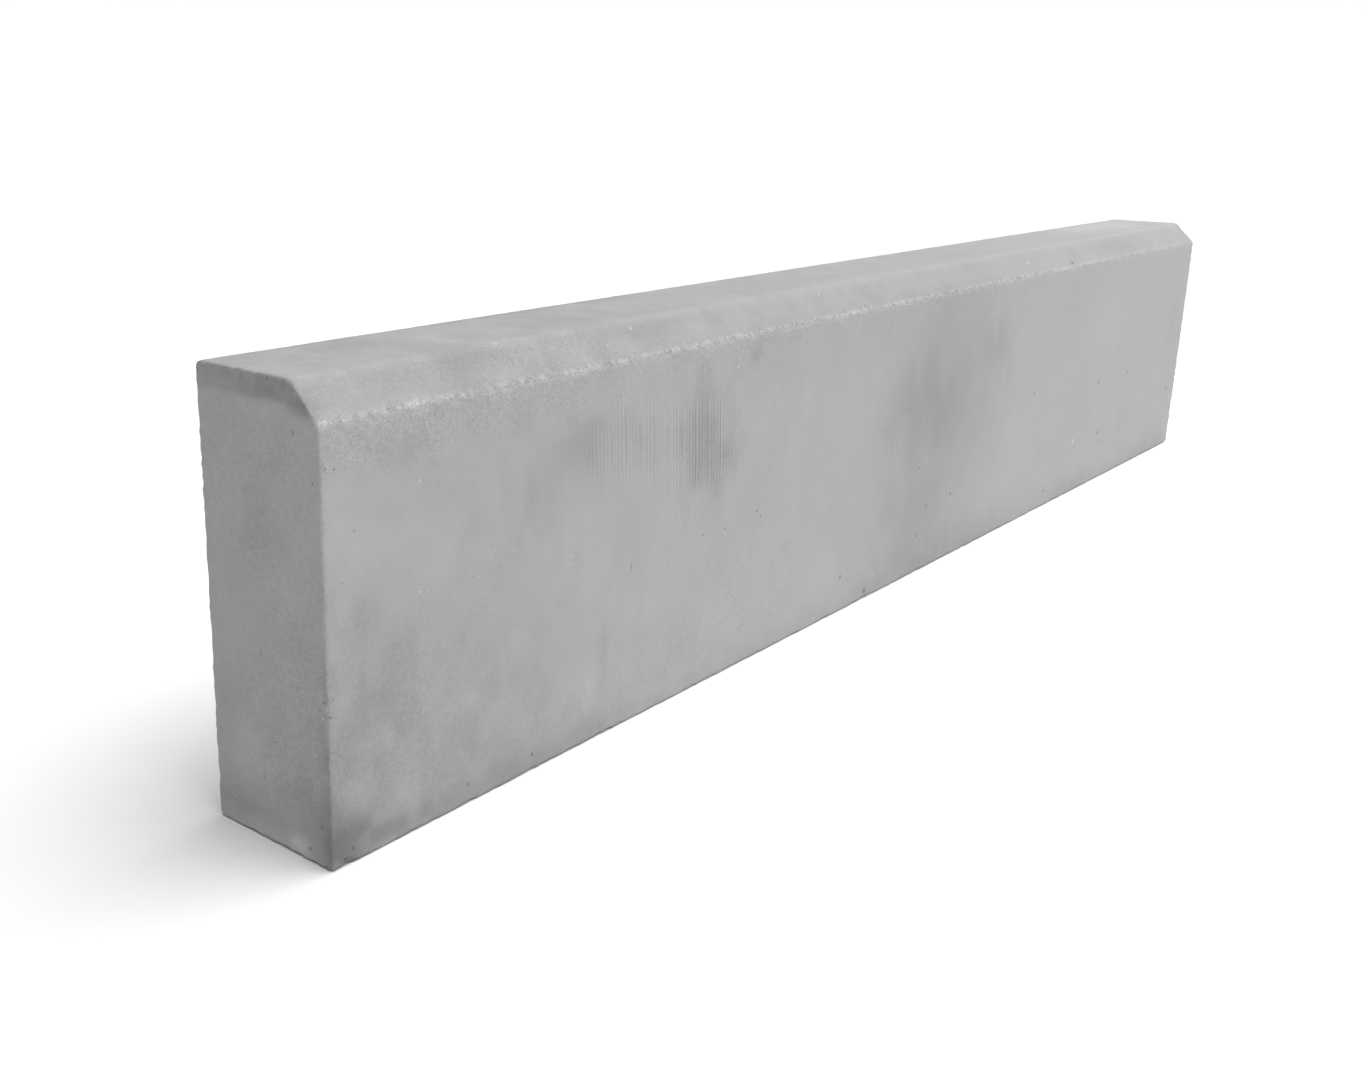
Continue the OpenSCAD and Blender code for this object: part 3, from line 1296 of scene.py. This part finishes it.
class Graph:
    """A node tree that is being put together."""

    def __init__(self, tree: bpy.types.NodeTree) -> None:
        """Empties the tree and starts on it."""
        self.tree = tree
        self.tree.nodes.clear()

    def node(self, kind: str, settings: dict[str, object], values: dict[int | str, object]) -> bpy.types.Node:
        """Adds a node.

        Args:
            kind: The node's type.
            settings: Its own settings, which are set first.
            values: What each input socket gets: a Number, a Place, another socket or a plain value.

        Returns:
            The node.
        """
        node = self.tree.nodes.new(kind)
        for name, setting in settings.items():
            setattr(node, name, setting)
        for name, value in values.items():
            source = getattr(value, "socket", value)
            if isinstance(source, bpy.types.NodeSocket):
                self.tree.links.new(source, node.inputs[name])
            else:
                node.inputs[name].default_value = source
        return node

    def sum(self, how: Sum, first: Number | float, second: Number | float) -> Number:
        """Works out one step of arithmetic."""
        node = self.node("ShaderNodeMath", {"operation": how.value}, {0: first, 1: second})
        return Number(self, node.outputs[0])

    def place(self) -> Place:
        """Where on the object the surface is."""
        return Place(self, self.node("ShaderNodeTexCoord", {}, {}).outputs["Object"])

    def carried(self, name: str) -> Number:
        """A number that the mesh carries."""
        return Number(self, self.node("ShaderNodeAttribute", {"attribute_name": name}, {}).outputs["Fac"])

    def cloud(self, place: Place, size: float, fine: float) -> Number:
        """Smooth noise, mostly from -1 to 1.

        Args:
            place: Where to read it.
            size: The size of one lump.
            fine: How strong the finer layer on it is.

        Returns:
            The noise.
        """
        values = {"Vector": place, "Scale": 1.0 / size, "Detail": 1.0, "Roughness": fine}
        noise = Number(self, self.node("ShaderNodeTexNoise", {}, values).outputs[0])
        return (noise - TEXTURE_MIDDLE) * TEXTURE_GAIN

    def dots(self, place: Place, pitch: float, radius: float, soft: float = 0.5) -> Number:
        """Scattered dots: 1 in a dot, and 0 between them.

        The dots are balls in space, about a pitch apart each way, so the surface cuts only some of them, and
        few of those through the middle.

        Args:
            place: Where to read them.
            pitch: How far apart the balls are.
            radius: The radius of a ball.
            soft: The share of the radius over which a dot fades out.

        Returns:
            The dots.
        """
        node = self.node("ShaderNodeTexVoronoi", {}, {"Vector": place, "Scale": 1.0 / pitch})
        distance = Number(self, node.outputs["Distance"]) * pitch
        return distance.rise(radius, radius * (1.0 - soft))

    def grey(self, tone: Number) -> bpy.types.NodeSocket:
        """The neutral colour of that tone."""
        values = {"Factor": tone, "A": (0.0, 0.0, 0.0, 1.0), "B": (1.0, 1.0, 1.0, 1.0)}
        return self.node("ShaderNodeMix", {"data_type": "RGBA"}, values).outputs["Result"]


def new_material(name: str) -> tuple[bpy.types.Material, Graph]:
    """A material of that name, and its empty graph."""
    material = bpy.data.materials.new(name)
    material.use_nodes = True
    return material, Graph(material.node_tree)


# ---------------------------------------------------------------------------------------------------------
# The finish
# ---------------------------------------------------------------------------------------------------------


@dataclass(frozen=True)
class Fleck:
    """A small pit or a white grain at a known place, in millimetres.

    Attributes:
        at: Its middle.
        radius: Its radius.
        tall: How much taller it is than wide.
    """

    at: Triple
    radius: float
    tall: float = 1.0


@dataclass(frozen=True)
class Flecks:
    """Flecks at known places, with ragged borders.

    Attributes:
        known: The flecks.
        change: How far a fleck takes the tone up or down.
        ragged: How far the noise moves a border, in radii.
        border: Where a fleck fades out and where it is full, in radii.
    """

    known: tuple[Fleck, ...]
    change: float
    ragged: float = 0.3
    border: tuple[float, float] = (1.15, 0.45)

    def drawn(self, place: Place, noise: Number) -> Number:
        """1 in a fleck, and 0 between them.

        A fleck is a ball, or taller than one, so the way to it is measured with z squeezed. The nearest
        fleck counts, in its own radii.

        Args:
            place: Where on the object the surface is.
            noise: Noise for the borders.

        Returns:
            The flecks.
        """
        ways = []
        for tall in sorted({fleck.tall for fleck in self.known}):
            squeezed = place.stretched((1.0, 1.0, 1.0 / tall))
            for fleck in self.known:
                if fleck.tall == tall:
                    x, y, z = (part * MM for part in fleck.at)
                    ways.append(squeezed.from_point((x, y, z / tall)) / (fleck.radius * MM))
        return (reduce(Number.at_most, ways) + self.ragged * noise).rise(*self.border)


@dataclass(frozen=True)
class Grit:
    """Noise that mottles the skin: faint where it is smooth and strong where it is sandy.

    Attributes:
        size: The size of a grain.
        fine: How strong its finer layer is.
        smooth: How far it takes the tone up and down on smooth skin.
        sandy: How much further it does so on sandy skin.
    """

    size: float
    fine: float
    smooth: float
    sandy: float

    def noise(self, graph: Graph, place: Place) -> Number:
        """The noise, mostly from -1 to 1."""
        return graph.cloud(place, self.size, self.fine)

    def strength(self, sandy: Number) -> Number:
        """How far it takes the tone up and down at a place that is so sandy."""
        return self.smooth + self.sandy * sandy


@dataclass(frozen=True)
class Scatter:
    """Dots that are scattered over open skin.

    Attributes:
        pitch: How far apart they are.
        radius: The radius of the largest.
        change: How far a dot takes the tone up or down.
    """

    pitch: float
    radius: float
    change: float


@dataclass(frozen=True)
class Stripe:
    """A stripe along the places where a number is near some value.

    Attributes:
        middle: The value.
        reach: How far from it the stripe fades out.
        change: How far the stripe takes the tone up or down.
    """

    middle: float
    reach: float
    change: float = 1.0

    def drawn(self, number: Number) -> Number:
        """How far it takes the tone up or down at a place."""
        return self.change * number.near(self.middle, self.reach)


@dataclass(frozen=True)
class Comb:
    """Fine upright lines that the mould left, and grooves among them, each dark on one side.

    Attributes:
        pitch: How far apart the lines are.
        beat: Over how many lines they grow stronger and faint again.
        strength: How strong they are: the even part, the noise's part and the beat's.
        change: How far a line takes the tone up and down.
        height: How high a line stands.
        lean: How far the lines lean along x for each metre down.
        groove_pitch: How far apart the grooves are.
        groove_from: Where along x the first groove would be, at the foot.
        groove_core: How combed the skin is where the grooves start and where they are full.
        groove_strength: How strong they are: the even part and the noise's.
        dark: The dark side of a groove.
        pale: Its pale side.
    """

    pitch: float = 2.7 * MM
    beat: float = 7.3
    strength: Triple = (0.7, 0.7, 0.3)
    change: float = 0.12
    height: float = 0.04 * MM
    lean: float = 0.063
    groove_pitch: float = 11.0 * MM
    groove_from: float = -0.2641
    groove_core: tuple[float, float] = (0.45, 0.85)
    groove_strength: tuple[float, float] = (0.6, 0.5)
    dark: Stripe = Stripe(0.9 * MM, 0.75 * MM, 0.36)
    pale: Stripe = Stripe(1.9 * MM, 0.7 * MM, 0.30)

    def drawn(self, x: Number, z: Number, comb: Number, uneven: Number) -> tuple[Number, Number]:
        """The lines and the grooves.

        The lines are a sine wave along x times another, longer one, and the grooves repeat too. Both are only
        as strong as the mesh's comb, and the noise makes them uneven.

        Args:
            x: The place's x.
            z: Its z.
            comb: How combed the skin is.
            uneven: Noise.

        Returns:
            The lines, from -1 to 1, and the share that the grooves add to the tone.
        """
        u = x + z * self.lean
        even, varied, beating = self.strength
        strength = even + varied * uneven + beating * u.wave(self.beat * self.pitch)
        lines = comb * u.wave(self.pitch) * strength
        from_groove = ((u - self.groove_from) / self.groove_pitch).fraction() * self.groove_pitch
        even, varied = self.groove_strength
        inner = comb.rise(*self.groove_core) * (even + varied * uneven).at_least(0.0)
        return lines, inner * (self.pale.drawn(from_groove) - self.dark.drawn(from_groove))


@dataclass(frozen=True)
class Laps:
    """Small laps where the cement crawled: a dark line, a pale ledge beside it, and the step between.

    Attributes:
        size: The size of a lap.
        flat: How much wider than high a lap is.
        fine: How strong the finer layer of their noise is.
        strength: How strong they are: the even part and the part of the noise that breaks them up.
        dark: The dark line, over the noise's values.
        pale: The ledge.
        step: How far from the noise's zero the step starts and ends.
        height: How high the step is.
    """

    size: float = 6.0 * MM
    flat: float = 1.35
    fine: float = 0.7
    strength: tuple[float, float] = (0.4, 1.1)
    dark: Stripe = Stripe(-0.06, 0.13, 0.22)
    pale: Stripe = Stripe(0.15, 0.18, 0.09)
    step: float = 0.1
    height: float = 0.2 * MM

    def drawn(self, graph: Graph, place: Place, crawl: Number, broken: Number) -> tuple[Number, Number]:
        """The laps, which run along the zero lines of a noise while the other noise breaks them up.

        Args:
            graph: The graph.
            place: Where on the object the surface is.
            crawl: How crawled the skin is.
            broken: The other noise.

        Returns:
            The share that they add to the tone, and the height of their step, from 0 to 1.
        """
        ripple = graph.cloud(place.stretched((1.0, 1.0, self.flat)), self.size, self.fine)
        even, varied = self.strength
        here = crawl * (even + varied * broken).at_least(0.0)
        tone = here * (self.pale.drawn(ripple) - self.dark.drawn(ripple))
        return tone, here * ripple.rise(-self.step, self.step)


@dataclass(frozen=True)
class CastConcrete:
    """Grey cast concrete, smooth from the mould, with the marks that this kerb has.

    The mesh carries wear, tone, sand, crawl and comb, as Wear and Complexion work them out.

    Attributes:
        length: The kerb's length.
        shoulder: How high the chamfer meets the front.
        pits: Known pits.
        grains: Known white grains.
        tone: How much light the plain skin returns.
        roughness: How matt it is, and how much more so where it is sandy and gritty.
        gloss: How strong its own reflections are.
        end_border: How far from an end its skin starts, and where it is full.
        front_border: Where along y the front's skin starts, and where it is full.
        crust: The open skin along the shoulder, over the height above it.
        rim: The pale crust on the shoulder.
        rim_strength: How pale that is: the even part, the grit's and the grain's.
        sandy: How sandy smooth skin is, how much more so an end is, and the most that any skin is.
        grain: The fine noise.
        grit: The coarser one.
        grit_offset: How far that is moved, so that the two don't fall together.
        bumps: How high the roughness stands where it takes the tone to twice its own.
        holes: Small dark holes.
        specks: Small pale specks.
        speck_offset: How far the specks are moved from the holes.
        comb: The combed lines.
        laps: The laps.
    """

    length: float
    shoulder: float
    pits: Flecks
    grains: Flecks
    tone: float = 0.38
    roughness: Triple = (0.8, 0.06, 0.03)
    gloss: float = 0.35
    end_border: tuple[float, float] = (1.3 * MM, 0.5 * MM)
    front_border: tuple[float, float] = (-31.0 * MM, -34.0 * MM)
    crust: Stripe = Stripe(-0.8 * MM, 3.4 * MM, 0.5)
    rim: Stripe = Stripe(1.0 * MM, 1.8 * MM)
    rim_strength: Triple = (0.10, 0.26, 0.22)
    sandy: Triple = (0.12, 0.28, 1.1)
    grain: Grit = Grit(0.85 * MM, 0.8, 0.014, 0.130)
    grit: Grit = Grit(2.8 * MM, 0.7, 0.014, 0.080)
    grit_offset: Triple = (0.31, 0.0, 0.0)
    bumps: float = 0.8 * MM
    holes: Scatter = Scatter(2.7 * MM, 0.58 * MM, 0.16)
    specks: Scatter = Scatter(3.1 * MM, 0.6 * MM, 0.20)
    speck_offset: Triple = (0.0, 0.4, 0.0)
    comb: Comb = Comb()
    laps: Laps = Laps()

    def material(self) -> bpy.types.Material:
        """Builds the material.

        The tone is a product of shares, one for each thing that darkens or lightens the concrete, and the
        height of the bump is a sum of what each of them raises or sinks.
        """
        material, graph = new_material("cast_concrete")
        place = graph.place()
        x, y, z = place.parts()
        wear, tone, sand, crawl, comb = (
            graph.carried(name) for name in ("wear", "tone", "sand", "crawl", "comb")
        )
        end = abs(x).rise(*(self.length / 2 - inset for inset in self.end_border))
        face = y.rise(*self.front_border) * (1.0 - end)
        crust = face * z.near(self.shoulder + self.crust.middle, self.crust.reach)
        rim = face * z.near(self.shoulder + self.rim.middle, self.rim.reach)
        open_skin = (sand + wear + self.crust.change * crust).at_most(1.0)
        least, on_end, most = self.sandy
        sandy = (least + open_skin + on_end * end).at_most(most)

        grain = self.grain.noise(graph, place)
        grit = self.grit.noise(graph, place.moved(self.grit_offset))
        rough = grain * self.grain.strength(sandy) + grit * self.grit.strength(sandy)
        lines, grooves = self.comb.drawn(x, z, comb, grit)
        lap, lap_step = self.laps.drawn(graph, place, crawl, grit)
        holes = graph.dots(place, self.holes.pitch, self.holes.radius) * open_skin
        moved = place.moved(self.speck_offset)
        specks = graph.dots(moved, self.specks.pitch, self.specks.radius) * open_skin
        pits, grains = self.pits.drawn(place, grain), self.grains.drawn(place, grain)

        even, gritty, grainy = self.rim_strength
        rim = rim * (even + gritty * grit + grainy * grain)
        marks = (1.0 + rough + rim) * (1.0 + self.comb.change * lines + grooves) * (1.0 + lap)
        marks = marks * (1.0 - self.holes.change * holes - self.pits.change * pits)
        marks = marks * (1.0 + self.specks.change * specks + self.grains.change * grains)
        height = rough * self.bumps + lines * self.comb.height + lap_step * self.laps.height
        bump = graph.node("ShaderNodeBump", {}, {"Strength": 1.0, "Distance": 1.0, "Height": height})
        plain, when_sandy, when_gritty = self.roughness
        values = {
            "Base Color": graph.grey(self.tone * tone * marks),
            "Roughness": plain + when_sandy * sandy + when_gritty * grit,
            "Specular IOR Level": self.gloss,
            "Normal": bump.outputs["Normal"],
        }
        shader = graph.node("ShaderNodeBsdfPrincipled", {}, values)
        graph.node("ShaderNodeOutputMaterial", {}, {"Surface": shader.outputs["BSDF"]})
        return material


PITS = Flecks(change=0.38, known=(
    Fleck((-500, -21.8, 175), 0.8, 1.6), Fleck((-500, -31.7, 157.6), 0.65),
    Fleck((-500, 5.7, 125.4), 0.55), Fleck((-500, -22.4, 5.7), 1.2), Fleck((-500, -30, 18), 0.7),
    Fleck((-500, -8, 193.5), 0.8), Fleck((-500, -4, 46), 0.6), Fleck((-500, 3.2, 82), 0.5, 3),
    Fleck((-500, 22, 13), 0.6), Fleck((-500, 4, 28), 0.5, 3), Fleck((-500, -34, 72), 0.9),
    Fleck((-500, -31.5, 68), 0.7), Fleck((-500, -32.5, 61), 0.6), Fleck((-498.5, -36, 66), 0.8),
    Fleck((-497, -36, 73), 0.7), Fleck((-497, -36, 163.5), 0.8), Fleck((-493, -36, 162.5), 0.7),
    Fleck((-493, -36, 3), 1.4), Fleck((-489, -36, 6.5), 1.1), Fleck((-484, -36, 137), 0.5),
    Fleck((-491, -36, 118), 0.5), Fleck((-381, -36, 8), 1.2), Fleck((-423, -36, 9), 1),
    Fleck((-310, -36, 80), 0.6, 3), Fleck((-250, -36, 82), 0.8), Fleck((-230, -36, 81), 1),
    Fleck((-200, -36, 84), 0.9), Fleck((-196, -36, 80), 0.9), Fleck((-102, -36, 22), 1.4),
    Fleck((-70, -36, 5), 2.2), Fleck((-7, -36, 71), 1), Fleck((7, -36, 43), 1.3),
    Fleck((43, -36, 44), 1.6), Fleck((-3, -36, 25), 1.3), Fleck((171, -36, 93), 1.6),
    Fleck((210, -36, 12), 1.8), Fleck((302, -36, 83), 2.1), Fleck((313, -36, 40), 1.8),
    Fleck((369, -36, 82), 1.5), Fleck((477, -36, 53), 2), Fleck((-90, -33, 182), 1.1),
    Fleck((225, -33, 182), 1.7),
))
GRAINS = Flecks(change=0.42, known=(
    Fleck((-500, -17.4, 157.6), 0.45), Fleck((-500, 28.3, 99.3), 0.5), Fleck((-500, 24, 19), 0.6),
    Fleck((-500, -35.2, 69), 0.9), Fleck((-499, -36, 75), 0.7), Fleck((-500, -33, 65), 0.7),
    Fleck((-449.5, -36, 149.5), 0.6, 1.6), Fleck((-450, -36, 104), 0.6), Fleck((-416, -36, 102), 0.6),
    Fleck((-435, -21.5, 194), 0.8), Fleck((-388, -20, 194.8), 1.2), Fleck((-300, -23.8, 191.2), 1.1),
    Fleck((-323, -28.5, 186.5), 0.8), Fleck((-225, -36, 165), 0.8, 1.5), Fleck((-128, -24, 191), 0.9),
    Fleck((155, -27.8, 187.2), 1.8), Fleck((260, -36, 42), 2), Fleck((-59, -36, 13), 1),
))


@dataclass(frozen=True)
class Plain:
    """An even, matt finish for the studio.

    Attributes:
        name: The material's name.
        tone: How much light it returns.
    """

    name: str
    tone: float

    def material(self) -> bpy.types.Material:
        """Builds the material."""
        material, graph = new_material(self.name)
        colour = (self.tone, self.tone, self.tone, 1.0)
        values = {"Base Color": colour, "Roughness": 1.0, "Specular IOR Level": 0.0}
        shader = graph.node("ShaderNodeBsdfPrincipled", {}, values)
        graph.node("ShaderNodeOutputMaterial", {}, {"Surface": shader.outputs["BSDF"]})
        return material


# ---------------------------------------------------------------------------------------------------------
# The kerb
# ---------------------------------------------------------------------------------------------------------


@dataclass(frozen=True)
class CastKerb:
    """The kerb stone, worn and dressed.

    Attributes:
        form: The unworn block.
        wear: What happened to it.
        complexion: How its skin differs from place to place.
        finish: Its concrete.
    """

    form: KerbForm
    wear: Wear
    complexion: Complexion
    finish: CastConcrete

    def mesh(self) -> bpy.types.Mesh:
        """Makes the worn mesh, and the numbers that it carries for its finish."""
        skin = self.form.skin()
        points, worn = self.wear.worn(skin)
        corners = np.concatenate([skin.quads.ravel(), skin.triangles.ravel()])
        sides = np.repeat([4, 3], [len(skin.quads), len(skin.triangles)])
        mesh = bpy.data.meshes.new("cast_kerb")
        mesh.vertices.add(len(points))
        mesh.loops.add(len(corners))
        mesh.polygons.add(len(sides))
        mesh.vertices.foreach_set("co", points.astype(np.float32).ravel())
        mesh.loops.foreach_set("vertex_index", corners.astype(np.int32))
        mesh.polygons.foreach_set("loop_start", (np.cumsum(sides) - sides).astype(np.int32))
        mesh.polygons.foreach_set("use_smooth", np.ones(len(sides), dtype=bool))
        mesh.update(calc_edges=True)
        mesh.validate()
        for name, values in {"wear": worn, **self.complexion.carried(self.form, skin.points)}.items():
            mesh.attributes.new(name, "FLOAT", "POINT").data.foreach_set("value", values.astype(np.float32))
        return mesh

    def build(self) -> None:
        """Adds the kerb to the scene, dressed, as the piece that stands for the CAD node."""
        kerb = bpy.data.objects.new("cast_kerb", self.mesh())
        bpy.context.scene.collection.objects.link(kerb)
        kerb.data.materials.append(self.finish.material())
        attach(kerb, "root")
        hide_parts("kerb")
        triangles = sum(len(face.vertices) - 2 for face in kerb.data.polygons)
        log.info("cast_kerb: %d points, %d triangles", len(kerb.data.vertices), triangles)


# ---------------------------------------------------------------------------------------------------------
# The studio
# ---------------------------------------------------------------------------------------------------------


def faced(way: Triple) -> Triple:
    """The rotation about X, Y and Z that turns the back of a lamp, its own +Z, along a way."""
    x, y, z = way
    return math.atan2(math.hypot(x, y), z), 0.0, math.atan2(x, -y)


@dataclass(frozen=True)
class FarLamp:
    """A soft lamp, so far away that it lights the whole kerb alike.

    Attributes:
        name: Its name.
        towards: The way from the kerb to the lamp.
        strength: How much light it gives on a surface that faces it, where 1 makes a white surface white.
        spread: How wide it looks, as an angle in degrees.
    """

    name: str
    towards: Triple
    strength: float
    spread: float

    def build(self) -> None:
        """Adds the lamp to the scene."""
        light = bpy.data.lights.new(self.name, "SUN")
        light.energy = self.strength * math.pi
        light.angle = math.radians(self.spread)
        lamp = bpy.data.objects.new(self.name, light)
        lamp.rotation_euler = faced(self.towards)
        bpy.context.scene.collection.objects.link(lamp)


@dataclass(frozen=True)
class Softbox:
    """A square, soft lamp that stands near the kerb, so that its light falls off along it.

    Attributes:
        name: Its name.
        place: Where it stands.
        aim: What it points at.
        size: The length of its sides.
        power: Its power in watts.
    """

    name: str
    place: Triple
    aim: Triple
    size: float
    power: float

    def build(self) -> None:
        """Adds the softbox to the scene. It isn't seen itself."""
        light = bpy.data.lights.new(self.name, "AREA")
        light.size = self.size
        light.energy = self.power
        lamp = bpy.data.objects.new(self.name, light)
        lamp.location = self.place
        lamp.rotation_euler = faced(tuple(place - aim for place, aim in zip(self.place, self.aim)))
        lamp.visible_camera = False
        bpy.context.scene.collection.objects.link(lamp)


@dataclass(frozen=True)
class Studio:
    """A pale floor, an even sky that is brighter low down, and soft lamps.

    Attributes:
        floor_size: The length of the floor's sides.
        floor_drop: How far under the foot the floor lies, so that the two don't share a plane.
        floor_tone: How much light the floor returns.
        sky: How bright the sky is high up.
        horizon: How bright it is low down, where it meets the floor.
        glow: How high that ends and where it is full, as the sine of the angle above the floor.
        lamps: The lamps.
    """

    floor_size: float = 80.0
    floor_drop: float = 0.2 * MM
    floor_tone: float = 0.94
    sky: float = 0.13
    horizon: float = 1.03
    glow: tuple[float, float] = (0.34, 0.03)
    lamps: tuple[FarLamp | Softbox, ...] = (
        FarLamp("key", (0.20, -0.29, 0.94), 1.04, 60.0),
        Softbox("fill", (0.8, -0.2, 0.9), (0.1, 0.0, 0.15), 0.8, 3.0),
    )

    def build(self) -> None:
        """Adds the floor, the sky and the lamps to the scene."""
        half = self.floor_size / 2
        level = -self.floor_drop
        corners = [(-half, -half, level), (half, -half, level), (half, half, level), (-half, half, level)]
        mesh = bpy.data.meshes.new("studio_floor")
        mesh.from_pydata(corners, [], [(0, 1, 2, 3)])
        mesh.materials.append(Plain("pale_floor", self.floor_tone).material())
        floor = bpy.data.objects.new("studio_floor", mesh)
        bpy.context.scene.collection.objects.link(floor)
        self.build_sky()
        for lamp in self.lamps:
            lamp.build()
        log.info("studio: a floor, a sky and %d lamps", len(self.lamps))

    def build_sky(self) -> None:
        """Lights the world: its brightness is the horizon's low down and the sky's above about 20 degrees."""
        world = bpy.data.worlds.new("studio")
        world.use_nodes = True
        graph = Graph(world.node_tree)
        direction = Place(graph, graph.node("ShaderNodeTexCoord", {}, {}).outputs["Generated"])
        low = direction.parts()[2].rise(*self.glow)
        strength = self.sky + (self.horizon - self.sky) * low
        values = {"Color": (1.0, 1.0, 1.0, 1.0), "Strength": strength}
        background = graph.node("ShaderNodeBackground", {}, values)
        graph.node("ShaderNodeOutputWorld", {}, {"Surface": background.outputs["Background"]})
        bpy.context.scene.world = world


@dataclass(frozen=True)
class Camera:
    """The camera, at the height of a person crouching off the kerb's -X end.

    Attributes:
        place: Where it stands.
        turn: Its rotation about X, Y and Z, in degrees.
        lens: Its focal length in mm.
        sensor: The width of its sensor in mm.
        shift: How far the frame is shifted, as shares of its width.
        clip: The nearest and the farthest that it sees.
    """

    place: Triple = (-0.8198, -0.4136, 0.2916)
    turn: Triple = (73.91, -0.54, -49.06)
    lens: float = 37.08
    sensor: float = 36.0
    shift: tuple[float, float] = (0.1087, -0.0244)
    clip: tuple[float, float] = (0.01, 200.0)

    def build(self) -> None:
        """Adds the camera and makes it the scene's own."""
        data = bpy.data.cameras.new("camera")
        data.sensor_width = self.sensor
        data.lens = self.lens
        data.shift_x, data.shift_y = self.shift
        data.clip_start, data.clip_end = self.clip
        camera = bpy.data.objects.new("camera", data)
        camera.location = self.place
        camera.rotation_euler = [math.radians(angle) for angle in self.turn]
        bpy.context.scene.collection.objects.link(camera)
        bpy.context.scene.camera = camera


def main() -> None:
    logging.basicConfig(level=logging.INFO, format="%(name)s: %(message)s")
    bpy.context.scene.view_settings.view_transform = "Standard"
    low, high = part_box("kerb")
    section = KerbSection(width=high.y - low.y, height=high.z - low.z)
    form = KerbForm(section, length=high.x - low.x)
    finish = CastConcrete(form.length, section.shoulder, PITS, GRAINS)
    Camera().build()
    CastKerb(form, Wear(form), COMPLEXION, finish).build()
    Studio().build()


if __name__ == "__main__":
    main()
